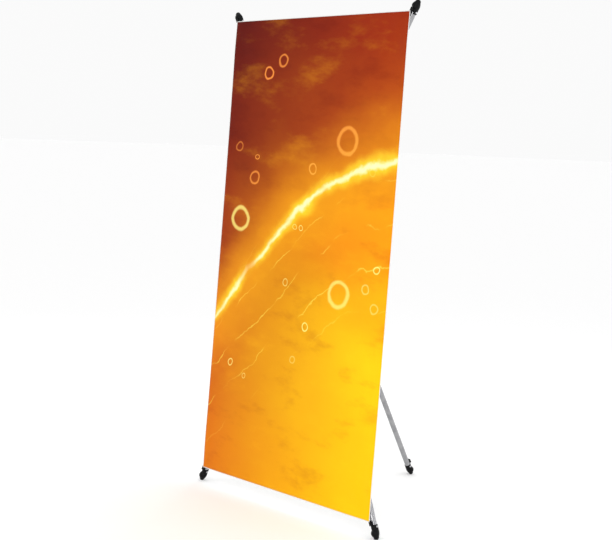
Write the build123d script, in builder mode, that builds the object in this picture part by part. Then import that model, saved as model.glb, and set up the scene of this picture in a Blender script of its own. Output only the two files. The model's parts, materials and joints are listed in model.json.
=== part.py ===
"""Tripod X-banner stand: a folding five-limb frame that holds a printed banner by its corners.

Millimetres, +Z up, +X to the right of someone facing the banner, +Y behind it.
The origin is on the floor, in the middle of the stand's bounding box.
"""
from build123d import *
from math import asin, atan2, cos, hypot, radians, sin, sqrt
import os

# --- driving dimensions -------------------------------------------------------------------------
banner_width = 800
banner_height = 1600
banner_thickness = 0.5
banner_lean = 3.2            # degrees the banner leans back from upright
bottom_clearance = 53        # floor to the banner's bottom edge
hub_height = 928             # bottom edge to the hub's centre, along the banner
rear_foot_distance = 687     # banner's bottom edge to the rear foot, along the floor

tube_radius = 9.5
tube_wall = 1.0

# layers, measured backwards from the banner's front face
leg_layer = 19
arm_layer = 40
corner_layer = 19            # where an arm's axis passes behind the banner's top corner

# pivots, measured from the hub's centre
leg_pivot = (16.5, -22)
arm_pivot = (39.5, 14)
rear_pivot_depth = 25        # behind the arms' layer

# limb knuckle
tongue_thickness = 10
tongue_half_width = 9.5
lug_reach = 14.6             # stop lug on the heel of a tongue
lug_half_width = 4
collar_start = 24
collar_end = 34
collar_radius = 11
plug_length = 30
plug_radius = 8.45

# end cap with its hook, measured outwards along the limb from the banner's corner
hook_back = -5               # hub side of the hook's bend
hook_thickness = 2.2
hook_tip = 12
hook_half_width = 5
strap_top = 11.8             # distance of the strap's outer face from the limb's axis
strap_root = 8               # distance of its inner face, inside the tube's bore in the cap
strap_overlap = 2            # how far the strap runs into the sleeve
throat = 3.3
hook_tip_rounding = 1
sleeve_radius = 11.4
sleeve_length = 16
head_rise = 22               # from the sleeve to the middle of the round toe
bulge_rise = 9               # from the sleeve to the widest section of the head
bulge_radius = 13.6
bulge_offset = 3             # the widest section leans this far to the hook's side
head_offset = 2              # and the toe this far
tip_radius = 9
cap_rivet_inset = 7          # from the sleeve's mouth
rivet_seat = 10.9            # flat seat of the sleeve's rivet heads, from the limb's axis
rivet_seat_clearance = 0.2   # round the head
foot_center_height = 7.5     # centre of a foot's round toe above the floor
arm_tip_center = 31
rear_tip_center = 48         # of the rear foot, which carries no corner
tube_overrun = 1             # tube's end, past the sleeve's inner end
bore_clearance = 0.05
bore_relief = 1              # bore's start, hubwards of the hook's bend

# pins, screws and rivets
pin_radius = 3
pin_hole = 3.05
rivet_radius = 2
rivet_hole = 2.05
rivet_head_radius = 3.4
rivet_head_height = 1.2
rivet_head_taper = 30
rivet_head_gap = 0.1         # under each head
plug_rivet = 50              # from the pivot
screw_radius = 2.5
screw_hole = 2.6
screw_head_radius = 4.4
screw_head_height = 3
nut_flat = 8
nut_height = 3
nut_clearance = 0.2          # round a nut and under it
screw_socket = 4
screw_socket_depth = 1.8
screw_head_clearance = 0.1
screw_length = 38
screw_places = [(-21, 20), (21, 20), (0, -26)]
pin_depth = 12               # pivot pins reach this far past their tongue's middle
pin_head_radius = 5.5
pin_head_height = 2
pin_head_rounding = 0.8
rear_pin_half = 10.2
rear_pin_head_radius = 5
rear_pin_head_height = 1.8
hub_through = 60

# hub mouldings
layer_gap = 5.3              # half the slot that a tongue turns in
plate_front = 10             # front plate's face, in front of the legs' layer
rear_plate_thickness = 6
arm_boss_radius = 14
leg_boss_radius = 11
rib_half_width = 6.7
ear_thickness = 4.5
ear_radius = 11
ear_foot = 16
slot_clearance = 0.3
overlap = 1                  # how far a joined feature starts inside its moulding
collar_rounding = 1.2
plate_rounding = 1.5
leg_wall_base = -6.5         # underside of the wall above the legs' heels
rib_overlap = 2
arm_wall_low = -28.6         # lowest corners of the wall between the arms
arm_wall_chamfer = 4
fold_stop = (24, -9.5)       # block that stops a folded leg's lug
fold_stop_size = (6.4, 8)
stop_pad_middle = 11
stop_pad_length = 8
stop_pad_height = 2.2

# corner ring and webbing tab
wire_radius = 1.1
ring_half_width = 8
ring_length = 22
ring_corner = 2.6
ring_slack = 0.35
ring_depth = strap_top + throat / 2
tab_half_width = 5.3
tab_thickness = 1.0
tab_eye_clearance = 0.3      # round the wire
tab_bend = -46               # where the tab meets the banner, from its corner
tab_shoulder = 4
tab_shoulder_drop = 0.6
tab_end = -88

# --- planes -------------------------------------------------------------------------------------
# A banner plane has +X across, +Y up the banner and its normal to the front.
stand_depth = rear_foot_distance + tip_radius
front_edge = -stand_depth / 2
lean = radians(banner_lean)
banner_plane = Plane(
    origin=(0, front_edge, bottom_clearance), x_dir=(1, 0, 0), z_dir=(0, -cos(lean), sin(lean))
)
leg_plane = Plane(
    origin=banner_plane.from_local_coords((0, hub_height, -leg_layer)),
    x_dir=(1, 0, 0),
    z_dir=banner_plane.z_dir,
)

top_above_hub = banner_height - hub_height
arm_lean = lean - atan2(arm_layer - corner_layer, top_above_hub)
arm_plane = Plane(
    origin=banner_plane.from_local_coords((0, hub_height, -arm_layer)),
    x_dir=(1, 0, 0),
    z_dir=(0, -cos(arm_lean), sin(arm_lean)),
)
arm_back_plane = Plane(origin=arm_plane.origin, x_dir=(-1, 0, 0), z_dir=-arm_plane.z_dir)
arm_corner_height = hypot(top_above_hub, arm_layer - corner_layer)

# the top corners' rings and tabs lie parallel to the banner, along the line from the arms' pivots
corner_plane = Plane(
    origin=banner_plane.from_local_coords((0, hub_height, -corner_layer)),
    x_dir=(1, 0, 0),
    z_dir=banner_plane.z_dir,
)
top_pull = hypot(banner_width / 2 - arm_pivot[0], top_above_hub - arm_pivot[1])

leg_reach = hypot(banner_width / 2 - leg_pivot[0], hub_height + leg_pivot[1])
arm_reach = hypot(banner_width / 2 - arm_pivot[0], arm_corner_height - arm_pivot[1])


def save(node, label):
    """Label a finished piece and write its STEP file."""
    node.part.label = label
    export_step(node.part, f"parts/{label}.step")


def limb_plane(base, pivot, target):
    """Plane at a pivot, with its normal along the limb and +X towards the base plane's front."""
    start = base.from_local_coords((pivot[0], pivot[1], 0))
    end = base.from_local_coords((target[0], target[1], 0))
    return Plane(origin=start, x_dir=base.z_dir, z_dir=end - start)


def side_plane(limb, distance=0):
    """Plane through a limb's axis: +X to the limb plane's +X and +Y outwards along the limb."""
    return Plane(
        origin=limb.origin + limb.z_dir * distance,
        x_dir=limb.x_dir,
        z_dir=limb.x_dir.cross(limb.z_dir),
    )


def drill(plane, places, radius, depth):
    """Cut holes through the part being built, both ways from a plane."""
    with BuildSketch(plane) as holes:
        with Locations(*places):
            Circle(radius)
    extrude(holes.sketch, amount=depth, both=True, mode=Mode.SUBTRACT)


def mirrored(place):
    """The two places on both sides of the hub's middle."""
    return [(-place[0], place[1]), place]


# the rear leg turns on a pin across the hub, and its round tip stands clear of the floor by its radius
rear_hinge_plane = Plane(
    origin=arm_plane.from_local_coords((0, 0, -rear_pivot_depth)),
    x_dir=arm_plane.y_dir,
    z_dir=arm_plane.x_dir,
)
rear_tip = Vector(0, front_edge + rear_foot_distance, foot_center_height)
rear_line = rear_tip - rear_hinge_plane.origin
rear_angle = atan2(rear_line.Y, -rear_line.Z) - asin(head_offset / rear_line.length)
rear_reach = sqrt(rear_line.length**2 - head_offset**2) - rear_tip_center
rear_leg = Plane(
    origin=rear_hinge_plane.origin,
    x_dir=(0, cos(rear_angle), sin(rear_angle)),
    z_dir=(0, sin(rear_angle), -cos(rear_angle)),
)

# the legs' round tips are centred at the same height above the floor as the rear foot's
leg_corner_height = bottom_clearance - (leg_layer - head_offset) * sin(lean)
leg_slope = (hub_height + leg_pivot[1]) / leg_reach * cos(lean)
leg_tip_center = (leg_corner_height - foot_center_height) / leg_slope


# --- limb pieces --------------------------------------------------------------------------------
def make_tube(label, limb, end, rivet_places):
    """Hollow aluminium tube from the knuckle's collar into the end cap."""
    with BuildPart() as tube:
        with BuildSketch(limb.offset(collar_end)):
            Circle(tube_radius)
            Circle(tube_radius - tube_wall, mode=Mode.SUBTRACT)
        extrude(amount=end - collar_end)
        for place in rivet_places:
            drill(side_plane(limb, place), [(0, 0)], rivet_hole, 2 * tube_radius)
    save(tube, label)


def make_knuckle(label, limb, hinge_axis, with_lug):
    """Moulded tongue that turns on a pivot pin, with a collar and a plug inside the tube."""
    face = Plane(origin=limb.origin, x_dir=hinge_axis.cross(limb.z_dir), z_dir=hinge_axis)
    outwards = round(face.y_dir.dot(limb.z_dir))
    with BuildPart() as knuckle:
        with BuildSketch(limb.offset(collar_start)):
            Circle(collar_radius)
        extrude(amount=collar_end - collar_start)
        fillet(knuckle.edges().filter_by(GeomType.CIRCLE), collar_rounding)
        with BuildSketch(face):
            Circle(tongue_half_width)
            with Locations((0, outwards * (collar_start + overlap) / 2)):
                Rectangle(2 * tongue_half_width, collar_start + overlap)
            if with_lug:
                with Locations((0, -outwards * lug_reach / 2)):
                    Rectangle(2 * lug_half_width, lug_reach)
        extrude(amount=tongue_thickness / 2, both=True)
        with BuildSketch(limb.offset(collar_end - overlap)):
            Circle(plug_radius)
        extrude(amount=plug_length + overlap)
        drill(face, [(0, 0)], pin_hole, tongue_thickness)
        drill(side_plane(limb, plug_rivet), [(0, 0)], rivet_hole, 2 * plug_radius)
    save(knuckle, label)


def make_cap(label, limb, corner, tip_center, stands):
    """End cap: a sleeve over the tube, a head that tapers to a round toe, and a hook to the plane's +X."""
    side = side_plane(limb, corner)
    finger_inner = strap_top + throat
    finger_outer = finger_inner + hook_thickness
    head = tip_center - head_rise
    mouth = head - sleeve_length
    strap_end = max(mouth + strap_overlap, hook_tip)
    bore_start = min(mouth, hook_back) - bore_relief
    bulge_plane, tip_plane = (
        Plane(
            origin=limb.origin + limb.z_dir * (corner + along) + limb.x_dir * offset,
            x_dir=limb.x_dir,
            z_dir=limb.z_dir,
        )
        for along, offset in ((head + bulge_rise, bulge_offset), (tip_center, head_offset))
    )
    with BuildPart() as cap:
        with BuildSketch(limb.offset(corner + mouth)):
            Circle(sleeve_radius)
        extrude(amount=sleeve_length)
        with BuildSketch(limb.offset(corner + head)):
            Circle(sleeve_radius)
        with BuildSketch(bulge_plane):
            Circle(bulge_radius)
        with BuildSketch(tip_plane):
            Circle(tip_radius)
        loft()
        with Locations(tip_plane.location):
            Sphere(tip_radius)
        with BuildSketch(side) as hook:
            Polygon(
                (strap_root, hook_back),
                (finger_outer, hook_back),
                (finger_outer, hook_tip),
                (finger_inner, hook_tip),
                (finger_inner, hook_back + hook_thickness),
                (strap_top, hook_back + hook_thickness),
                (strap_top, strap_end),
                (strap_root, strap_end),
                align=None,
            )
            finger = hook.vertices().sort_by(Axis.X)[-2:].sort_by(Axis.Y)
            fillet(finger[0], hook_thickness)
            fillet(finger[1], hook_tip_rounding)
        extrude(amount=hook_half_width, both=True)
        with BuildSketch(limb.offset(corner + bore_start)):
            Circle(tube_radius + bore_clearance)
        extrude(amount=head + tube_overrun - bore_start, mode=Mode.SUBTRACT)
        rivet_plane = side_plane(limb, corner + mouth + cap_rivet_inset)
        drill(rivet_plane, [(0, 0)], rivet_hole, 2 * sleeve_radius)
        for outwards in (-1, 1):
            with BuildSketch(rivet_plane.offset(outwards * rivet_seat)):
                Circle(rivet_head_radius + rivet_seat_clearance)
            extrude(amount=outwards * sleeve_radius, mode=Mode.SUBTRACT)
        if stands:
            split(bisect_by=Plane.XY, keep=Keep.TOP)
    save(cap, label)


def make_rivets(label, limb, places):
    """Two dome-headed rivets: one through the plug and one through the cap's sleeve."""
    with BuildPart() as rivets:
        for place, outer in places:
            side = side_plane(limb, place)
            with BuildSketch(side):
                Circle(rivet_radius)
            extrude(amount=outer, both=True)
            for outwards in (-1, 1):
                with BuildSketch(side.offset(outwards * outer)):
                    Circle(rivet_head_radius)
                extrude(amount=outwards * rivet_head_height, taper=rivet_head_taper)
    save(rivets, label)


def make_limb(name, limb, corner, tip_center, hinge_axis, hook_side, with_lug, stands):
    """All the pieces of one limb. Its corner is the distance from the pivot to the hook."""
    hook_limb = Plane(origin=limb.origin, x_dir=hook_side, z_dir=limb.z_dir)
    sleeve_end = corner + tip_center - head_rise
    cap_rivet = sleeve_end - sleeve_length + cap_rivet_inset
    make_tube(f"{name}_tube", hook_limb, sleeve_end + tube_overrun, (plug_rivet, cap_rivet))
    make_knuckle(f"{name}_knuckle", hook_limb, hinge_axis, with_lug)
    end_label = f"{name}_foot" if stands else f"{name}_end_hook"
    make_cap(end_label, hook_limb, corner, tip_center, stands)
    places = ((plug_rivet, tube_radius + rivet_head_gap), (cap_rivet, rivet_seat + rivet_head_gap))
    make_rivets(f"{name}_rivets", hook_limb, places)


# --- banner pieces ------------------------------------------------------------------------------
def make_ring(label, limb, corner):
    """Oval wire ring, with its outer bar in the throat of the corner's hook."""
    bar = corner + hook_back + hook_thickness + ring_slack + wire_radius
    center = limb.origin + limb.z_dir * (bar - ring_length / 2) + limb.x_dir * ring_depth
    ring_plane = Plane(origin=center, x_dir=limb.y_dir, z_dir=limb.x_dir)
    with BuildPart() as ring:
        with BuildLine(ring_plane) as loop:
            half_straight = ring_length / 2 - ring_corner
            half_width = ring_half_width - ring_corner
            side_right = Line((ring_half_width, -half_straight), (ring_half_width, half_straight))
            CenterArc((half_width, half_straight), ring_corner, 0, 90)
            Line((half_width, ring_length / 2), (-half_width, ring_length / 2))
            CenterArc((-half_width, half_straight), ring_corner, 90, 90)
            Line((-ring_half_width, half_straight), (-ring_half_width, -half_straight))
            CenterArc((-half_width, -half_straight), ring_corner, 180, 90)
            Line((-half_width, -ring_length / 2), (half_width, -ring_length / 2))
            CenterArc((half_width, -half_straight), ring_corner, 270, 90)
        with BuildSketch(Plane(origin=side_right @ 0, z_dir=side_right % 0)):
            Circle(wire_radius)
        sweep(path=loop.wire())
    save(ring, label)


def make_tab(label, limb, corner):
    """Webbing tab: looped round the ring's inner bar and welded to the banner's back."""
    bar = corner + hook_back + hook_thickness + ring_slack + wire_radius - ring_length
    side = side_plane(limb, 0)
    eye_radius = wire_radius + tab_eye_clearance
    loop_radius = eye_radius + tab_thickness
    back = leg_layer - banner_thickness
    with BuildPart() as tab:
        with BuildSketch(side):
            Polygon(
                (ring_depth - loop_radius, bar),
                (ring_depth + loop_radius, bar),
                (back - tab_shoulder_drop, corner + tab_bend),
                (back, corner + tab_bend - tab_shoulder),
                (back, corner + tab_end),
                (back - 2 * tab_thickness, corner + tab_end),
                (back - 2 * tab_thickness, corner + tab_bend - tab_shoulder),
                align=None,
            )
            with Locations((ring_depth, bar)):
                Circle(loop_radius)
                Circle(eye_radius, mode=Mode.SUBTRACT)
        extrude(amount=tab_half_width, both=True)
        split(bisect_by=banner_plane.offset(-banner_thickness), keep=Keep.BOTTOM)
    save(tab, label)


def make_sheet():
    """The banner itself, standing on its bottom edge behind the banner plane."""
    with BuildPart() as sheet:
        with BuildSketch(banner_plane):
            Rectangle(banner_width, banner_height, align=(Align.CENTER, Align.MIN))
        extrude(amount=-banner_thickness)
    save(sheet, "banner_sheet")


# --- hub ----------------------------------------------------------------------------------------
def hub_outline():
    """Outline of the hub's mouldings: bosses round the arms' pivots over bosses for the legs."""
    with BuildSketch(mode=Mode.PRIVATE) as outline:
        with Locations((0, arm_pivot[1])):
            SlotCenterToCenter(2 * arm_pivot[0], 2 * arm_boss_radius)
            Rectangle(2 * (leg_pivot[0] + leg_boss_radius), arm_pivot[1] - leg_pivot[1],
                      align=(Align.CENTER, Align.MAX))
        with Locations((0, leg_pivot[1])):
            SlotCenterToCenter(2 * leg_pivot[0], 2 * leg_boss_radius)
    return outline.sketch


def hexagon_pockets(plane, flat, depth):
    """Cut a hexagon pocket at each screw, inwards from a plane."""
    with BuildSketch(plane) as pockets:
        with Locations(*screw_places):
            RegularPolygon(flat / 2, 6, major_radius=False)
    extrude(pockets.sketch, amount=-depth, mode=Mode.SUBTRACT)


def make_front_plate():
    """Cover in front of the legs' tongues."""
    with BuildPart() as plate:
        with BuildSketch(leg_plane.offset(layer_gap)):
            add(hub_outline())
        extrude(amount=plate_front - layer_gap)
        rim = plate.faces().sort_by(Axis(leg_plane.origin, leg_plane.z_dir))[-1].edges()
        fillet(rim, plate_rounding)
        drill(leg_plane, mirrored(leg_pivot), pin_hole, hub_through)
        drill(arm_plane, screw_places, screw_hole, hub_through)
        hexagon_pockets(leg_plane.offset(plate_front), nut_flat + nut_clearance, nut_height + nut_clearance)
    save(plate, "hub_front_plate")


def make_core():
    """Wedge-shaped middle moulding that spaces both plates and stops the legs and arms."""
    with BuildPart() as core:
        with BuildSketch(leg_plane.offset(-layer_gap)):
            add(hub_outline())
        extrude(amount=-(arm_layer - leg_layer))
        split(bisect_by=arm_plane.offset(layer_gap), keep=Keep.TOP)
        # walls between the legs' tongues, up to the front plate
        with BuildSketch(leg_plane.offset(-layer_gap - overlap)):
            with Locations((0, leg_pivot[1] - leg_boss_radius)):
                Rectangle(2 * rib_half_width, leg_wall_base - leg_pivot[1] + leg_boss_radius + rib_overlap,
                          align=(Align.CENTER, Align.MIN))
            with Locations((0, leg_wall_base)):
                Rectangle(2 * arm_pivot[0], arm_pivot[1] + arm_boss_radius - leg_wall_base,
                          align=(Align.CENTER, Align.MIN))
            with Locations(*mirrored(fold_stop)):
                Rectangle(*fold_stop_size)
        extrude(amount=2 * layer_gap + overlap)
        # walls between the arms' tongues, up to the rear plate
        with BuildSketch(arm_plane.offset(layer_gap + overlap)):
            Polygon(*arm_wall_outline(), align=None)
            with Locations(*mirrored(arm_pivot)):
                Circle(tongue_half_width + slot_clearance, mode=Mode.SUBTRACT)
        extrude(amount=-(2 * layer_gap + overlap))
        drill(leg_plane, mirrored(leg_pivot), pin_hole, hub_through)
        drill(arm_plane, mirrored(arm_pivot), pin_hole, arm_layer - leg_layer - layer_gap)
        drill(arm_plane, screw_places, screw_hole, hub_through)
    save(core, "hub_core")


def arm_wall_outline():
    """Corners of the wall between the arms: its sloping sides are the arms' stops at rest."""
    along_u = (banner_width / 2 - arm_pivot[0]) / arm_reach
    along_v = (arm_corner_height - arm_pivot[1]) / arm_reach
    flank = tongue_half_width + slot_clearance
    foot = (arm_pivot[0] - flank * along_v, arm_pivot[1] + flank * along_u)
    rise = (arm_pivot[1] + arm_boss_radius - foot[1]) / along_v
    top = (foot[0] + rise * along_u, foot[1] + rise * along_v)
    side = arm_pivot[0] - flank
    low_side = leg_pivot[0] + leg_boss_radius
    lowest = (leg_pivot[0], arm_wall_low - arm_wall_chamfer)
    right = [top, foot, (side, arm_pivot[1]), (low_side, 0), (low_side, arm_wall_low), lowest]
    return right + [(-u, v) for u, v in reversed(right)]


def make_rear_plate():
    """Cover behind the arms' tongues, with two ears and a stop pad for the rear leg."""
    back = -layer_gap - rear_plate_thickness
    ear_inner = tongue_thickness / 2 + slot_clearance
    ear_middle = ear_inner + ear_thickness / 2
    ear_root = rear_plate_thickness + layer_gap - overlap
    with BuildPart() as plate:
        with BuildSketch(arm_plane.offset(-layer_gap)):
            add(hub_outline())
        extrude(amount=-rear_plate_thickness)
        rim = plate.faces().sort_by(Axis(arm_plane.origin, arm_plane.z_dir))[0].edges()
        fillet(rim, plate_rounding)
        for middle in (-ear_middle, ear_middle):
            ear_plane = Plane(
                origin=arm_plane.from_local_coords((middle, 0, 0)),
                x_dir=arm_plane.y_dir,
                z_dir=-arm_plane.x_dir,
            )
            with BuildSketch(ear_plane):
                with BuildLine():
                    Polyline((-ear_foot, ear_root), (-ear_radius, rear_pivot_depth))
                    CenterArc((0, rear_pivot_depth), ear_radius, 0, 180)
                    Polyline((ear_radius, rear_pivot_depth), (ear_foot, ear_root), (-ear_foot, ear_root))
                make_face()
            extrude(amount=ear_thickness / 2, both=True)
        with BuildSketch(arm_plane.offset(back)):
            with Locations((0, stop_pad_middle)):
                Rectangle(2 * ear_inner + overlap, stop_pad_length)
        extrude(amount=-stop_pad_height)
        with BuildSketch(rear_hinge_plane):
            Circle(pin_hole)
        extrude(amount=2 * ear_middle, both=True, mode=Mode.SUBTRACT)
        drill(arm_plane, mirrored(arm_pivot), pin_hole, hub_through)
        drill(arm_plane, screw_places, screw_hole, hub_through)
        with BuildSketch(arm_plane.offset(back)):
            with Locations(*screw_places):
                Circle(screw_head_radius + screw_head_clearance)
        extrude(amount=screw_head_height + screw_head_clearance, mode=Mode.SUBTRACT)
    save(plate, "hub_rear_plate")


def make_pins(label, plane, places, high):
    """Pivot pins along a plane's normal, up to a height with the head beyond it."""
    with BuildPart() as pins:
        with BuildSketch(plane.offset(-pin_depth)):
            with Locations(*places):
                Circle(pin_radius)
        extrude(amount=high + pin_depth)
        with BuildSketch(plane.offset(high)):
            with Locations(*places):
                Circle(pin_head_radius)
        extrude(amount=pin_head_height)
        rims = pins.edges().filter_by(GeomType.CIRCLE).group_by(Axis(plane.origin, plane.z_dir))
        fillet(rims[-1], pin_head_rounding)
    save(pins, label)


def make_rear_pin():
    """Pin across the rear plate's ears, with a head at each end."""
    with BuildPart() as pin:
        with BuildSketch(rear_hinge_plane):
            Circle(pin_radius)
        extrude(amount=rear_pin_half, both=True)
        for end in (-1, 1):
            with BuildSketch(rear_hinge_plane.offset(end * rear_pin_half)):
                Circle(rear_pin_head_radius)
            extrude(amount=end * rear_pin_head_height)
    save(pin, "rear_leg_pivot_pin")


def make_screws():
    """Cap screws through the hub from behind, with a hexagon socket in each head."""
    seat = -layer_gap - rear_plate_thickness + screw_head_height
    with BuildPart() as screws:
        with BuildSketch(arm_plane.offset(seat)):
            with Locations(*screw_places):
                Circle(screw_head_radius)
        extrude(amount=-screw_head_height)
        with BuildSketch(arm_plane.offset(seat)):
            with Locations(*screw_places):
                Circle(screw_radius)
        extrude(amount=screw_length)
        with BuildSketch(arm_plane.offset(seat - screw_head_height)):
            with Locations(*screw_places):
                RegularPolygon(screw_socket / 2, 6, major_radius=False)
        extrude(amount=screw_socket_depth, mode=Mode.SUBTRACT)
    save(screws, "hub_screws")


def make_nuts():
    """Thin hexagon nuts in the front plate's pockets."""
    with BuildPart() as nuts:
        with BuildSketch(leg_plane.offset(plate_front - nut_height)):
            with Locations(*screw_places):
                RegularPolygon(nut_flat / 2, 6, major_radius=False)
        extrude(amount=nut_height)
        drill(arm_plane, screw_places, screw_hole, hub_through)
    save(nuts, "hub_nuts")


# --- the stand ----------------------------------------------------------------------------------
os.makedirs("parts", exist_ok=True)

make_sheet()
make_front_plate()
make_core()
make_rear_plate()
make_screws()
make_nuts()
make_rear_pin()
make_pins("leg_pivot_pins", leg_plane, mirrored(leg_pivot), plate_front)
make_pins("arm_pivot_pins", arm_back_plane, mirrored(arm_pivot), layer_gap + rear_plate_thickness)

for side, name in ((-1, "left"), (1, "right")):
    pivot = (side * leg_pivot[0], leg_pivot[1])
    leg = limb_plane(leg_plane, pivot, (side * banner_width / 2, -hub_height))
    make_limb(f"{name}_leg", leg, leg_reach, leg_tip_center, leg_plane.z_dir, leg.x_dir, True, True)
    make_ring(f"bottom_{name}_ring", leg, leg_reach)
    make_tab(f"bottom_{name}_tab", leg, leg_reach)

    pivot = (side * arm_pivot[0], arm_pivot[1])
    arm = limb_plane(arm_plane, pivot, (side * banner_width / 2, arm_corner_height))
    make_limb(f"{name}_arm", arm, arm_reach, arm_tip_center, arm_plane.z_dir, arm.x_dir, False, False)
    pull = limb_plane(corner_plane, pivot, (side * banner_width / 2, top_above_hub))
    make_ring(f"top_{name}_ring", pull, top_pull)
    make_tab(f"top_{name}_tab", pull, top_pull)

make_limb("rear_leg", rear_leg, rear_reach, rear_tip_center, Vector(1, 0, 0), rear_leg.x_dir, True, True)
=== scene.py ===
import json
import math
import random

import bmesh
import bpy
from mathutils import Matrix, Vector


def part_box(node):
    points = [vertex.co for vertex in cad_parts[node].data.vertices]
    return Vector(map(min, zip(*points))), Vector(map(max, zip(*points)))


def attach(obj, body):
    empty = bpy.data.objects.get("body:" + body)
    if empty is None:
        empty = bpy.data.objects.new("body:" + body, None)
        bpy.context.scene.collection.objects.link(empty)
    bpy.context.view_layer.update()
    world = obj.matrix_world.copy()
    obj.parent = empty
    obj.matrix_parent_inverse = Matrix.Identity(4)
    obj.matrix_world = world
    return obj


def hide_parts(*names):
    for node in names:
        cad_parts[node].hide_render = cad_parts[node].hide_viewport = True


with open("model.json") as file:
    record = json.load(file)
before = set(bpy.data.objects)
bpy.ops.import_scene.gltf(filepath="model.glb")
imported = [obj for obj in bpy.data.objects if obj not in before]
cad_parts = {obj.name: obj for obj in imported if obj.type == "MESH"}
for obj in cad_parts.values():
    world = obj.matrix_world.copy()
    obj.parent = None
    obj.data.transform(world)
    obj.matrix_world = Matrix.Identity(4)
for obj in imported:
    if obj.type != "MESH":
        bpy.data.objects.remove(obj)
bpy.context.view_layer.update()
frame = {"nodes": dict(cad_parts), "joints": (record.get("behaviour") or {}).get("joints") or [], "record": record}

MM = 0.001

# camera: degrees, millimetres of lens, and metres from the middle of the banner's bottom edge
CAMERA_AZIMUTH = 44.63
CAMERA_ELEVATION = 3.51
CAMERA_ROLL = 2.23
CAMERA_LENS = 70.65
CAMERA_SHIFT = (0.0033, -0.0866)
CAMERA_SIDE = 2.821
CAMERA_FRONT = 2.796
CAMERA_HEIGHT = 1.227

# print
RING_SEED = 21
RING_COUNT = 20
RING_RADII = (0.010, 0.014, 0.019, 0.026, 0.037, 0.050)      # shares of the banner's width
MARGIN = (0.0022, 0.0030)     # the unprinted edge's end, and the print's start, on the same scale

# sheet and webbing
SHEET_THICK = 0.5 * MM
SCRIM_PITCH = 0.9 * MM
TAB_REACH = 0.1               # a tab's inner end, from its corner, with room to spare
TAPE = 0.9 * MM               # thickness of the webbing
RIB = 0.9 * MM                # rib of the webbing's weave
LAYER_GAP = 0.05 * MM         # between the tape's layers, and from the tape to the sheet
RING_GAP = 0.15 * MM          # from the tape to the ring's bar
SEWN_LENGTH = 45 * MM         # of the tape, from its inner end
STITCH = 2.1 * MM             # length of one stitch
STITCH_GAP = 0.8 * MM
THREAD = 0.24 * MM            # radius of the thread
THREAD_LIFT = 0.15 * MM       # of the stitches' base above the tape's two layers
SEAM_START = 7 * MM           # sewn box, from the tape's inner end
SEAM_END = 36 * MM
SEAM_EDGE = 1.7 * MM          # from the tape's selvedge
BAR_TACK = 4 * MM             # bar of thread, past the box

# studio, in metres, degrees and watts
FLOOR_SIZE = 400
LIT_HEIGHT = 0.85             # what the lights point at
SUN_PLACE = (2.4, -2.6, 3.4)
STRIP_AZIMUTHS = (36, 96, 150, 214, 268, 322)
STRIP_SIZE = (0.42, 2.4)
STRIP_POWER = 11
STRIP_DISTANCE = 3.4
STRIP_HEIGHT = 1.35

# --- the banner's own axes, read from the frame ----------------------------------------------------
sheet_low, sheet_high = (Vector(corner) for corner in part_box("banner_sheet"))
BANNER_WIDTH = sheet_high.x - sheet_low.x
joint_axis = {j["name"]: Vector(j["axis"]) for j in frame["joints"]}
FORWARD = joint_axis["banner_off"].normalized()        # out of the printed face
ACROSS = Vector((1, 0, 0))
UP = FORWARD.cross(ACROSS)
# the box's height is the banner's height and its thickness, both leaning
BANNER_HEIGHT = ((sheet_high.z - sheet_low.z) - SHEET_THICK * abs(FORWARD.z)) / UP.z
BASE = Vector((0, sheet_low.y, sheet_high.z - BANNER_HEIGHT * UP.z))   # bottom middle of the face


def on_banner(u, v, depth=0.0):
    """Point on the banner: u from its middle, v up from its bottom edge, depth behind its face."""
    return BASE + ACROSS * u + UP * v - FORWARD * depth


# --- node helpers ----------------------------------------------------------------------------------
class Tree:
    """A material's node tree, with one short method for each kind of node that is used."""

    def __init__(self, name):
        self.material = bpy.data.materials.new(name)
        self.material.use_nodes = True
        self.nodes = self.material.node_tree.nodes
        self.links = self.material.node_tree.links
        self.shader = self.nodes["Principled BSDF"]

    def node(self, kind, inputs=(), **settings):
        made = self.nodes.new(kind)
        for key, value in settings.items():
            setattr(made, key, value)
        for key, value in dict(inputs).items():
            self.plug(made.inputs[key], value)
        return made

    def plug(self, socket, value):
        if isinstance(value, bpy.types.NodeSocket):
            self.links.new(value, socket)
        elif isinstance(value, bpy.types.Node):
            self.links.new(value.outputs[0], socket)
        else:
            socket.default_value = value

    def math(self, operation, a, b=0.0):
        return self.node("ShaderNodeMath", {0: a, 1: b}, operation=operation).outputs[0]

    def vector(self, operation, a, b):
        made = self.node("ShaderNodeVectorMath", {0: a, 1: b}, operation=operation)
        return made.outputs["Value" if operation == "DISTANCE" else "Vector"]

    def remap(self, value, low, high, to_low=0.0, to_high=1.0, smooth=True):
        kind = "SMOOTHSTEP" if smooth else "LINEAR"
        inputs = {"Value": value, "From Min": low, "From Max": high, "To Min": to_low, "To Max": to_high}
        return self.node("ShaderNodeMapRange", inputs, interpolation_type=kind).outputs[0]

    def mix(self, factor, a, b, blend="MIX"):
        made = self.node("ShaderNodeMix", data_type="RGBA", blend_type=blend)
        self.plug(made.inputs[0], factor)
        self.plug(made.inputs[6], a)
        self.plug(made.inputs[7], b)
        return made.outputs[2]

    def noise(self, where, scale, detail=2.0, roughness=0.5):
        inputs = {"Vector": where, "Scale": scale, "Detail": detail, "Roughness": roughness}
        return self.node("ShaderNodeTexNoise", inputs).outputs[0]

    def bump(self, height, strength, distance):
        made = self.node("ShaderNodeBump", {"Strength": strength, "Distance": distance, "Height": height})
        self.plug(self.shader.inputs["Normal"], made.outputs[0])

    def place(self):
        return self.node("ShaderNodeTexCoord").outputs["Object"]

    def set(self, **values):
        for key, value in values.items():
            self.plug(self.shader.inputs[key.replace("_", " ")], value)


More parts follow.
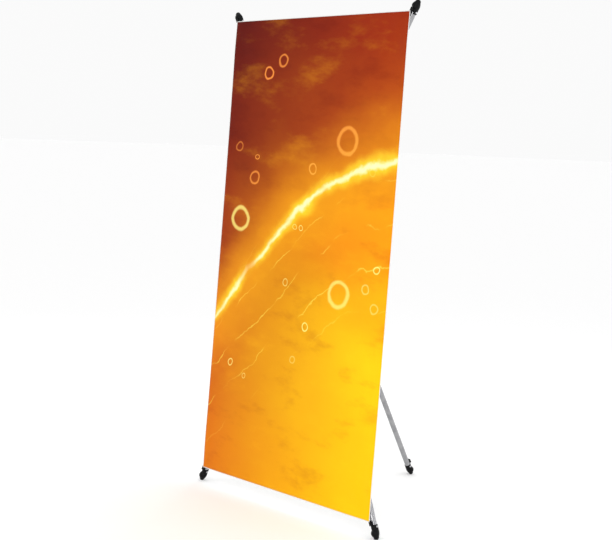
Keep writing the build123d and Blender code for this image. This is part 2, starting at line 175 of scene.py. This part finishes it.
# --- camera ----------------------------------------------------------------------------------------
def add_camera():
    """The photograph's viewpoint: from the banner's right front, at about chest height."""
    azimuth, elevation = math.radians(CAMERA_AZIMUTH), math.radians(CAMERA_ELEVATION)
    roll = math.radians(CAMERA_ROLL)
    back = Vector((
        math.sin(azimuth) * math.cos(elevation),
        -math.cos(azimuth) * math.cos(elevation),
        math.sin(elevation),
    ))
    right = Vector((math.cos(azimuth), math.sin(azimuth), 0))
    up = back.cross(right)
    rolled_right = right * math.cos(roll) + up * math.sin(roll)
    rolled_up = up * math.cos(roll) - right * math.sin(roll)
    turn = Matrix((rolled_right, rolled_up, back)).transposed().to_4x4()
    data = bpy.data.cameras.new("camera")
    data.lens = CAMERA_LENS
    data.shift_x, data.shift_y = CAMERA_SHIFT
    camera = bpy.data.objects.new("camera", data)
    place = (CAMERA_SIDE, sheet_low.y - CAMERA_FRONT, CAMERA_HEIGHT)
    camera.matrix_world = Matrix.Translation(place) @ turn
    bpy.context.scene.collection.objects.link(camera)
    bpy.context.scene.camera = camera


# --- materials -------------------------------------------------------------------------------------
def print_material():
    """A generic warm print: a diagonal gradient, a streak of light, flowing lines, rings and wisps."""
    t = Tree("printed_face")
    uv = t.node("ShaderNodeUVMap").outputs[0]
    split = t.node("ShaderNodeSeparateXYZ", {0: uv})
    u, v = split.outputs[0], split.outputs[1]          # 0 to 1 across, 0 to 2 up
    drift = t.math("MULTIPLY", t.math("SUBTRACT", t.noise(uv, 2.1, 4.0), 0.5), 0.34)
    rise = t.math("ADD", t.math("MULTIPLY", v, 0.5), drift)
    u_soft = t.math("ADD", u, drift)

    # five heights up the sheet, each with a warm tone at the left and another at the right
    bands = (
        (0.00, (0.68, 0.175, 0.004, 1), (0.96, 0.54, 0.001, 1)),
        (0.30, (0.56, 0.115, 0.004, 1), (0.98, 0.58, 0.002, 1)),
        (0.56, (0.30, 0.036, 0.002, 1), (0.92, 0.30, 0.002, 1)),
        (0.78, (0.165, 0.010, 0.001, 1), (0.44, 0.066, 0.003, 1)),
        (1.00, (0.100, 0.003, 0.001, 1), (0.31, 0.024, 0.002, 1)),
    )
    color = None
    for low, (height, left, right) in zip((None, *(band[0] for band in bands)), bands):
        tone = t.mix(t.remap(u_soft, 0.02, 0.92, smooth=False), left, right)
        color = tone if low is None else t.mix(t.remap(rise, low, height), color, tone)

    # cloudy patches, lighter low down and darker high up
    slant = {"Vector": uv, "Rotation": (0, 0, 0.6), "Scale": (2.2, 5.0, 1)}
    cloud = t.noise(t.node("ShaderNodeMapping", slant), 1.3, 5.0, 0.62)
    color = t.mix(t.remap(cloud, 0.50, 0.80, 0.0, 0.26), color, (0.95, 0.36, 0.006, 1), "SCREEN")
    color = t.mix(t.remap(cloud, 0.48, 0.30, 0.0, 0.40), color, (0.62, 0.34, 0.20, 1), "MULTIPLY")

    # a bent streak of light that rises from left to right, broken up along its length
    bend = t.math("MULTIPLY", t.math("SINE", t.math("MULTIPLY", u, 2.6)), 0.22)
    line = t.math("ADD", t.math("MULTIPLY", u, 0.62), t.math("ADD", bend, 0.68))
    ragged = t.math("MULTIPLY", t.math("SUBTRACT", t.noise(uv, 6.0, 5.0, 0.55), 0.5), 0.13)
    off = t.math("ABSOLUTE", t.math("SUBTRACT", v, t.math("ADD", line, ragged)))
    along = t.remap(t.noise(uv, 3.4, 3.0), 0.36, 0.60)
    halo = t.remap(off, 0.0, 0.34, 0.45, 0.0)
    flare = t.math("MULTIPLY", t.remap(off, 0.0, 0.070, 0.75, 0.0), along)
    core = t.math("MULTIPLY", t.remap(off, 0.0, 0.022, 0.95, 0.0), along)
    color = t.mix(halo, color, (1.0, 0.34, 0.004, 1), "SCREEN")
    color = t.mix(flare, color, (1.0, 0.70, 0.03, 1), "SCREEN")
    color = t.mix(core, color, (1.0, 0.93, 0.50, 1))

    # thin flowing lines that follow the streak
    flow = t.math("SUBTRACT", v, t.math("MULTIPLY", line, 0.92))
    ripple = t.math("MULTIPLY", t.math("SINE", t.math("MULTIPLY", u, 5.2)), 0.045)
    strands = t.math("PINGPONG", t.math("ADD", t.math("ADD", flow, ripple), ragged), 0.085)
    thin = t.remap(strands, 0.0, 0.005, 0.42, 0.0)
    near = t.remap(t.math("ABSOLUTE", t.math("ADD", flow, 0.22)), 0.10, 0.46, 1.0, 0.0)
    faint = t.remap(t.noise(uv, 5.5, 2.0), 0.42, 0.62)
    strand_share = t.math("MULTIPLY", t.math("MULTIPLY", thin, near), faint)
    color = t.mix(strand_share, color, (1.0, 0.82, 0.10, 1), "SCREEN")

    # rings with soft rims, scattered at random
    draw = random.Random(RING_SEED)
    wobble = t.node("ShaderNodeTexNoise", {"Vector": uv, "Scale": 14.0, "Detail": 2.0}).outputs[1]
    shake = t.vector("MULTIPLY", t.vector("SUBTRACT", wobble, (0.5, 0.5, 0.5)), (0.02, 0.02, 0))
    shaken = t.vector("ADD", uv, shake)
    for number in range(RING_COUNT):
        radius = draw.choice(RING_RADII)
        x, y = draw.uniform(0.06, 0.94), draw.uniform(0.15, 1.9)
        away = t.vector("DISTANCE", shaken, (x, y, 0))
        off_rim = t.math("ABSOLUTE", t.math("SUBTRACT", away, radius))
        rim = t.remap(off_rim, radius * 0.05, radius * 0.26, draw.uniform(0.35, 0.85), 0.0)
        glow = (1.0, 0.86, 0.22, 1) if y < 1.2 else (1.0, 0.30, 0.05, 1)
        color = t.mix(rim, color, glow, "SCREEN")

    # unprinted margin
    from_side = t.math("SUBTRACT", 0.5, t.math("ABSOLUTE", t.math("SUBTRACT", u, 0.5)))
    from_end = t.math("SUBTRACT", 1.0, t.math("ABSOLUTE", t.math("SUBTRACT", v, 1.0)))
    margin = t.remap(t.math("MINIMUM", from_side, from_end), *MARGIN, 1.0, 0.0)
    color = t.mix(margin, color, (0.86, 0.85, 0.82, 1))

    weave = t.noise(uv, 900.0, 1.0)
    t.set(Base_Color=color, Roughness=t.remap(weave, 0.3, 0.7, 0.46, 0.56))
    t.set(Specular_IOR_Level=0.07)
    t.bump(weave, 0.06, 0.0004)
    return t.material


def vinyl_back_material():
    """White back of the banner, with the threads of its scrim just showing."""
    t = Tree("vinyl_back")
    place = t.place()
    split = t.node("ShaderNodeSeparateXYZ", {0: place})
    threads_x = t.math("PINGPONG", split.outputs[0], SCRIM_PITCH)
    threads_z = t.math("PINGPONG", split.outputs[2], SCRIM_PITCH)
    net = t.remap(t.math("MINIMUM", threads_x, threads_z), 0.0, SCRIM_PITCH / 3, 1.0, 0.0)
    cloud = t.noise(place, 6.0, 3.0)
    base = t.mix(t.remap(cloud, 0.3, 0.7), (0.70, 0.69, 0.66, 1), (0.77, 0.76, 0.73, 1))
    t.set(Base_Color=t.mix(t.math("MULTIPLY", net, 0.35), base, (0.60, 0.59, 0.56, 1)))
    t.set(Roughness=t.remap(cloud, 0.3, 0.7, 0.48, 0.58))
    t.bump(net, 0.25, 0.0003)
    return t.material


def aluminium_material():
    """Polished tube: drawn along its length, with a faint haze and fine scratches."""
    t = Tree("polished_aluminium")
    place = t.place()
    haze = t.noise(place, 38.0, 4.0)
    scratch = t.noise(t.node("ShaderNodeMapping", {"Vector": place, "Scale": (900, 900, 9)}), 1.0, 2.0)
    t.set(Base_Color=t.mix(t.remap(haze, 0.35, 0.7), (0.37, 0.37, 0.38, 1), (0.29, 0.29, 0.30, 1)))
    t.set(Metallic=1.0)
    rough = t.math("ADD", t.remap(haze, 0.3, 0.7, 0.14, 0.22), t.remap(scratch, 0.55, 0.8, 0.0, 0.08))
    t.set(Roughness=rough)
    t.bump(scratch, 0.05, 0.0002)
    return t.material


def plastic_material(name, tone, grain_scale, grain_strength, rough):
    """Black moulded plastic with a fine spark-eroded grain and slightly rubbed patches."""
    t = Tree(name)
    place = t.place()
    grain = t.noise(place, grain_scale, 3.0, 0.6)
    patches = t.noise(place, 55.0, 4.0)
    worn = t.remap(patches, 0.52, 0.72)
    light = tuple(1.9 * part for part in tone)
    t.set(Base_Color=t.mix(t.math("MULTIPLY", worn, 0.5), (*tone, 1), (*light, 1)))
    t.set(Roughness=t.remap(patches, 0.3, 0.7, rough - 0.07, rough + 0.09))
    t.set(Specular_IOR_Level=0.1)
    t.bump(grain, grain_strength, 0.0003)
    return t.material


def steel_material(name, base, low, high):
    """Plated steel with small changes of gloss."""
    t = Tree(name)
    place = t.place()
    cloud = t.noise(place, 160.0, 4.0)
    dark = tuple(0.82 * part for part in base)
    t.set(Base_Color=t.mix(t.remap(cloud, 0.35, 0.7), (*base, 1), (*dark, 1)))
    t.set(Metallic=1.0)
    t.set(Roughness=t.remap(cloud, 0.3, 0.7, low, high))
    t.bump(cloud, 0.04, 0.0002)
    return t.material


def webbing_material():
    """Black woven nylon tape: a herringbone of ribs that follows the tape, and a little fuzz, with painted shade
    in the grooves between the ribs.
    """
    t = Tree("black_webbing")
    split = t.node("ShaderNodeSeparateXYZ", {0: t.node("ShaderNodeUVMap").outputs[0]})
    across, along = split.outputs[0], split.outputs[1]           # metres on the tape
    chevron = t.math("PINGPONG", across, RIB * 2)
    ribs = t.math("PINGPONG", t.math("ADD", along, chevron), RIB / 2)
    weft = t.math("PINGPONG", across, RIB / 3)
    fuzz = t.noise(t.place(), 1400.0, 3.0)
    rib_height = t.remap(ribs, 0.0, RIB / 2)
    height = t.math("ADD", rib_height, t.math("MULTIPLY", t.remap(weft, 0.0, RIB / 3), 0.4))
    height = t.math("ADD", height, t.math("MULTIPLY", fuzz, 0.35))
    # the colour follows this height: painted shade darkens the grooves between the ribs, and the rib tops are
    # lighter
    t.set(Base_Color=t.mix(t.remap(height, 0.2, 1.5), (0.004, 0.004, 0.005, 1), (0.028, 0.028, 0.030, 1)))
    t.set(Roughness=t.remap(fuzz, 0.3, 0.7, 0.72, 0.9))
    t.set(Specular_IOR_Level=0.25, Sheen_Weight=0.08)
    t.bump(height, 0.6, 0.0003)
    return t.material


def thread_material():
    """Bonded polyester thread with its twist."""
    t = Tree("black_thread")
    twist = t.noise(t.place(), 3200.0, 2.0)
    t.set(Base_Color=t.mix(t.remap(twist, 0.35, 0.65), (0.020, 0.020, 0.022, 1), (0.060, 0.060, 0.064, 1)))
    t.set(Roughness=t.remap(twist, 0.3, 0.7, 0.45, 0.6))
    t.set(Specular_IOR_Level=0.35)
    t.bump(twist, 0.4, 0.0002)
    return t.material


# --- the banner's sheet ----------------------------------------------------------------------------
def smooth_step(value, low, high):
    """0 below low, 1 above high, and smooth between."""
    share = min(1.0, max(0.0, (value - low) / (high - low)))
    return share * share * (3 - 2 * share)


def sheet_relief(u, v):
    """How far the pulled sheet stands off flat, in metres: soft waves, and folds from its corners.

    Near a corner it is never behind flat, because a webbing tab lies against its back there.
    """
    across, up = u / BANNER_WIDTH + 0.5, v / BANNER_HEIGHT
    middle = math.sin(math.pi * across) * math.sin(math.pi * up)
    waves = 0.0012 * math.sin(2.2 * math.pi * across + 0.7)
    waves += 0.0009 * math.sin(5.0 * math.pi * up + 1.3 * across)
    # the free edges between corners curl a little to the back
    curl = -0.0016 * (2 * abs(across - 0.5)) ** 6 * math.sin(math.pi * up)
    relief = -0.0030 * middle + waves * middle ** 0.5 + curl
    clear_of_tabs = 1.0
    folds = 0.0
    for corner_u, corner_v in ((-0.5, 0.0), (0.5, 0.0), (-0.5, 1.0), (0.5, 1.0)):
        du, dv = abs(u - corner_u * BANNER_WIDTH), abs(v - corner_v * BANNER_HEIGHT)
        distance = math.hypot(du, dv)
        clear_of_tabs *= smooth_step(distance, TAB_REACH, 2.2 * TAB_REACH)
        fade = math.exp(-distance / 0.20) * smooth_step(distance, 0.01, 0.11)
        folds += 0.0012 * fade * (1 + math.cos(8.0 * math.atan2(du, dv)))
    return relief * clear_of_tabs + folds


def make_sheet(columns=80, rows=160):
    """The pulled vinyl sheet: printed face, white back and white cut edges."""
    bm = bmesh.new()
    uv_layer = bm.loops.layers.uv.new("UVMap")
    grid = {}
    for side, depth in (("face", 0.0), ("back", SHEET_THICK)):
        for i in range(columns + 1):
            for j in range(rows + 1):
                u = BANNER_WIDTH * (i / columns - 0.5)
                v = BANNER_HEIGHT * j / rows
                grid[side, i, j] = bm.verts.new(on_banner(u, v, depth - sheet_relief(u, v)))

    def patch(corners, slot):
        face = bm.faces.new([grid[c] for c in corners])
        face.material_index = slot
        face.smooth = slot != 2
        for loop, (_, i, j) in zip(face.loops, corners):
            loop[uv_layer].uv = (i / columns, 2 * j / rows)

    for i in range(columns):
        for j in range(rows):
            a, b, c, d = (i, j), (i + 1, j), (i + 1, j + 1), (i, j + 1)
            patch([("face", *a), ("face", *b), ("face", *c)], 0)
            patch([("face", *a), ("face", *c), ("face", *d)], 0)
            patch([("back", *a), ("back", *c), ("back", *b)], 1)
            patch([("back", *a), ("back", *d), ("back", *c)], 1)
    rim = [(i, 0) for i in range(columns)] + [(columns, j) for j in range(rows)]
    rim += [(i, rows) for i in range(columns, 0, -1)] + [(0, j) for j in range(rows, 0, -1)]
    for here, there in zip(rim, rim[1:] + rim[:1]):
        patch([("back", *here), ("back", *there), ("face", *there), ("face", *here)], 2)
    mesh = bpy.data.meshes.new("banner_vinyl")
    bm.to_mesh(mesh)
    bm.free()
    sheet = bpy.data.objects.new("banner_vinyl", mesh)
    bpy.context.scene.collection.objects.link(sheet)
    back = vinyl_back_material()
    for material in (print_material(), back, back):
        mesh.materials.append(material)
    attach(sheet, "banner")
    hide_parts("banner_sheet")


# --- webbing tabs ----------------------------------------------------------------------------------
def span(node, direction):
    """Lowest and highest reach of a CAD node along a direction, in metres from the origin."""
    reach = [vertex.co.dot(direction) for vertex in frame["nodes"][node].data.vertices]
    return min(reach), max(reach)


class Corner:
    """One corner of the banner: axes out along its limb's pull, and depths behind the face."""

    def __init__(self, name):
        row, side = name.split("_")
        limb = f"{side}_{'arm' if row == 'top' else 'leg'}_fold"
        pivot = Vector(next(joint["pos_m"] for joint in frame["joints"] if joint["name"] == limb))
        corner = on_banner(BANNER_WIDTH / 2 * (1 if side == "right" else -1), BANNER_HEIGHT * (row == "top"))
        pull = corner - pivot
        self.out = (pull - FORWARD * pull.dot(FORWARD)).normalized()
        self.across = self.out.cross(FORWARD)
        self.corner = corner
        ring = f"{name}_ring"
        low, _ = span(ring, self.out)
        near, far = span(ring, -FORWARD)
        self.wire = (far - near) / 2
        self.bar = low + self.wire - corner.dot(self.out)                # inner bar, along the pull
        self.bar_depth = (near + far) / 2 - corner.dot(-FORWARD)
        tab = f"{name}_tab"
        self.inner_end = span(tab, self.out)[0] - corner.dot(self.out)
        low, high = span(tab, self.across)
        self.half_width = (high - low) / 2

    def point(self, along, across, depth):
        return self.corner + self.out * along + self.across * across - FORWARD * depth


def tab_path(corner):
    """The tape's middle line, as (along, depth): up to the ring, round its bar and back on itself."""
    rest = SHEET_THICK + TAPE / 2 + LAYER_GAP          # middle of the lower layer
    radius = corner.wire + TAPE / 2 + RING_GAP
    lift = corner.inner_end + SEWN_LENGTH              # where the tape leaves the banner
    path = [(corner.inner_end + step * (lift - corner.inner_end) / 8, rest) for step in range(9)]
    climb = 12
    for step in range(1, climb):
        share = smooth_step(step / climb, 0.0, 1.0)
        along = lift + (corner.bar - lift) * step / climb
        path.append((along, rest + (corner.bar_depth - radius - rest) * share))
    turn = 16
    for step in range(turn + 1):
        angle = math.pi * step / turn
        path.append((
            corner.bar + radius * math.sin(angle),
            corner.bar_depth - radius * math.cos(angle),
        ))
    back = rest + TAPE + LAYER_GAP
    for step in range(1, climb + 1):
        share = smooth_step(step / climb, 0.0, 1.0)
        along = corner.bar + (lift - corner.bar) * step / climb
        path.append((along, corner.bar_depth + radius + (back - corner.bar_depth - radius) * share))
    end = corner.inner_end + 3 * MM
    path += [(lift + step * (end - lift) / 8, back) for step in range(1, 9)]
    return path


def tape_section(half_width):
    """Section of the tape, as (across, out of its face): flat faces and rounded selvedges."""
    round_steps = 5
    section = []
    for side in (1, -1):
        for step in range(round_steps + 1):
            angle = math.pi * (step / round_steps - 0.5)
            swell = 1.12                               # a selvedge is a little thicker
            across = side * (half_width - TAPE / 2 + TAPE / 2 * math.cos(angle))
            section.append((across, side * TAPE / 2 * swell * math.sin(angle)))
        for share in (0.6, 0.2, -0.2, -0.6):
            section.append((side * share * half_width, side * TAPE / 2))
    return section


def make_tab(name):
    """A woven tape looped round the ring's inner bar, its two layers stitched and fixed to the banner."""
    corner = Corner(name)
    path = tab_path(corner)
    section = tape_section(corner.half_width)
    bm = bmesh.new()
    uv_layer = bm.loops.layers.uv.new("UVMap")
    rows, lengths, run = [], [], 0.0
    for index, (along, depth) in enumerate(path):
        before, after = path[max(index - 1, 0)], path[min(index + 1, len(path) - 1)]
        tangent = Vector((after[0] - before[0], after[1] - before[1])).normalized()
        if index:
            run += math.hypot(along - path[index - 1][0], depth - path[index - 1][1])
        lengths.append(run)
        rows.append([
            bm.verts.new(corner.point(along - tangent.y * lift, across, depth + tangent.x * lift))
            for across, lift in section
        ])
    count = len(section)
    for i in range(len(rows) - 1):
        for k in range(count):
            n = (k + 1) % count
            face = bm.faces.new((rows[i][k], rows[i][n], rows[i + 1][n], rows[i + 1][k]))
            face.smooth = True
            for loop, (row, place) in zip(face.loops, ((i, k), (i, n), (i + 1, n), (i + 1, k))):
                loop[uv_layer].uv = (section[place][0] + 0.1, lengths[row])
    for row in (rows[0], list(reversed(rows[-1]))):
        bm.faces.new(row)
    bmesh.ops.recalc_face_normals(bm, faces=bm.faces)
    tab = finish_mesh(bm, f"{name}_webbing", webbing, body="banner")
    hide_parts(f"{name}_tab")
    make_stitches(name, corner)


def make_stitches(name, corner):
    """A box with a cross of thread through both layers, and a bar of thread close to the ring."""
    top = SHEET_THICK + 2 * TAPE + THREAD_LIFT
    low, high = corner.inner_end + SEAM_START, corner.inner_end + SEAM_END
    side = corner.half_width - SEAM_EDGE
    box = [(low, -side), (high, -side), (high, side), (low, side)]
    seams = list(zip(box, box[1:] + box[:1])) + [(box[0], box[2]), (box[1], box[3])]
    seams.append(((high + BAR_TACK, -side), (high + BAR_TACK, side)))
    bm = bmesh.new()
    for start, end in seams:
        start, end = Vector(start), Vector(end)
        length = (end - start).length
        number = max(1, int(length / (STITCH + STITCH_GAP)))
        for index in range(number):
            middle = start.lerp(end, (index + 0.5) / number)
            add_stitch(bm, corner, middle, (end - start).normalized(), top)
    bmesh.ops.recalc_face_normals(bm, faces=bm.faces)
    stitches = finish_mesh(bm, f"{name}_stitching", thread, body="banner")


def add_stitch(bm, corner, middle, heading, top):
    """One stitch: a tapered strand of thread that arches over the tape and dips in at both ends."""
    sideways = Vector((-heading.y, heading.x))
    steps, around = 6, 6
    rings = []
    for step in range(steps + 1):
        share = step / steps - 0.5
        arch = math.cos(math.pi * share)
        thick = THREAD * (0.45 + 0.55 * arch)
        place = middle + heading * STITCH * share
        ring = []
        for turn in range(around):
            angle = math.tau * turn / around
            spot = place + sideways * thick * math.cos(angle)
            rise = THREAD * (1.3 * arch - 0.9) + thick * math.sin(angle)
            ring.append(bm.verts.new(corner.point(spot.x, spot.y, top + rise)))
        rings.append(ring)
    for here, there in zip(rings, rings[1:]):
        for k in range(around):
            n = (k + 1) % around
            bm.faces.new((here[k], here[n], there[n], there[k])).smooth = True
    bm.faces.new(rings[0])
    bm.faces.new(list(reversed(rings[-1])))


def finish_mesh(bm, name, material, body):
    """Turn a bmesh into an object of one material that rides on a body."""
    mesh = bpy.data.meshes.new(name)
    bm.to_mesh(mesh)
    bm.free()
    mesh.materials.append(material)
    piece = bpy.data.objects.new(name, mesh)
    bpy.context.scene.collection.objects.link(piece)
    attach(piece, body)
    return piece


# --- finishes of the CAD nodes ---------------------------------------------------------------------
def finish_nodes():
    """Give each carried-over CAD node the material of its slot in the record."""
    hub = plastic_material("hub_plastic", (0.0065, 0.0065, 0.0070), 1500.0, 0.22, 0.40)
    ends = plastic_material("end_plastic", (0.0045, 0.0045, 0.0050), 1100.0, 0.16, 0.33)
    made = {
        "polished_tube": aluminium_material(),
        "hub_plastic": hub,
        "black_plastic": ends,
        "steel_pin": steel_material("zinc_plated_steel", (0.60, 0.60, 0.62), 0.26, 0.40),
        "steel_ring": steel_material("nickel_plated_wire", (0.74, 0.74, 0.75), 0.14, 0.24),
    }
    for part in frame["record"]["subparts"]:
        if part["material_slot"] not in made:
            continue
        piece = frame["nodes"][part["node"]]
        piece.data.materials.clear()
        piece.data.materials.append(made[part["material_slot"]])


# --- studio ----------------------------------------------------------------------------------------
def add_studio():
    """Plain near-white floor and surround, with soft light from tall strips and a weak, soft sun."""
    bpy.ops.mesh.primitive_plane_add(size=FLOOR_SIZE, location=(0, 0, 0))
    floor = bpy.context.object
    floor.name = "studio_floor"
    t = Tree("pale_floor")
    t.set(Base_Color=(0.985, 0.985, 0.985, 1), Roughness=0.9, Specular_IOR_Level=0.05)
    floor.data.materials.append(t.material)

    world = bpy.data.worlds.new("studio")
    world.use_nodes = True
    world.node_tree.nodes["Background"].inputs[0].default_value = (1.0, 1.0, 1.0, 1)
    world.node_tree.nodes["Background"].inputs[1].default_value = 0.96
    bpy.context.scene.world = world

    middle = Vector((0, 0, LIT_HEIGHT))
    sun = bpy.data.lights.new("soft_sun", "SUN")
    sun.angle = 0.5
    sun.energy = 0.20
    lamps = [("soft_sun", sun, Vector(SUN_PLACE))]
    for azimuth in STRIP_AZIMUTHS:
        name = f"strip_{azimuth}"
        data = bpy.data.lights.new(name, "AREA")
        data.shape = "RECTANGLE"
        data.size, data.size_y = STRIP_SIZE
        data.energy = STRIP_POWER
        turn = math.radians(azimuth)
        x, y = STRIP_DISTANCE * math.sin(turn), -STRIP_DISTANCE * math.cos(turn)
        lamps.append((name, data, Vector((x, y, STRIP_HEIGHT))))
    for name, data, place in lamps:
        light = bpy.data.objects.new(name, data)
        light.location = place
        light.rotation_euler = (middle - light.location).to_track_quat("-Z", "Y").to_euler()
        light.visible_camera = False
        bpy.context.scene.collection.objects.link(light)
    bpy.context.scene.view_settings.view_transform = "Standard"


add_camera()
make_sheet()
webbing = webbing_material()
thread = thread_material()
for corner_name in ("top_left", "top_right", "bottom_left", "bottom_right"):
    make_tab(corner_name)
finish_nodes()
add_studio()
